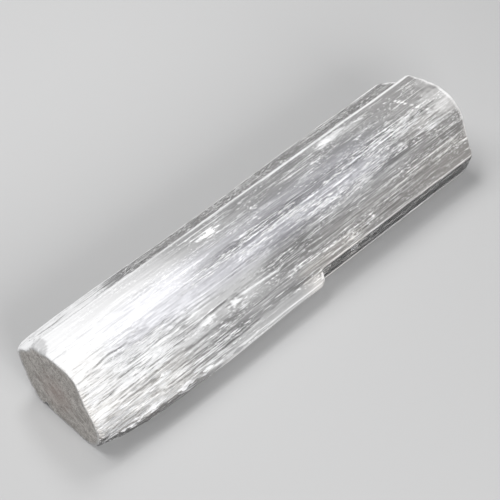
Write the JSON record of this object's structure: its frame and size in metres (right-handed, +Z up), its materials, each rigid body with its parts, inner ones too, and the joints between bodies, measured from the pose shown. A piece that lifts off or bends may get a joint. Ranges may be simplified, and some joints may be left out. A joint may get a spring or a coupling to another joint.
{
  "type": "selenite log",
  "caption": "Raw bar of fibrous white gypsum crystal, split along its length, sawn across one end and broken at the other, lying on a flat cleavage face.",
  "frame": {"origin": "on the ground, under the middle of the log's box", "axes": "+X along the log's fibres from the sawn end to the broken end, +Y towards the narrow side ledge, +Z up from the cleavage face it lies on"},
  "size_m": [0.2022, 0.053, 0.0318],
  "materials": {
    "satin_gypsum": "translucent fibrous crystal, silky along its length, white where its fibres have opened, clearer grey in thin blades"
  },
  "bodies": {
    "root": {"selenite_log": "satin_gypsum"}
  },
  "joints": []
}
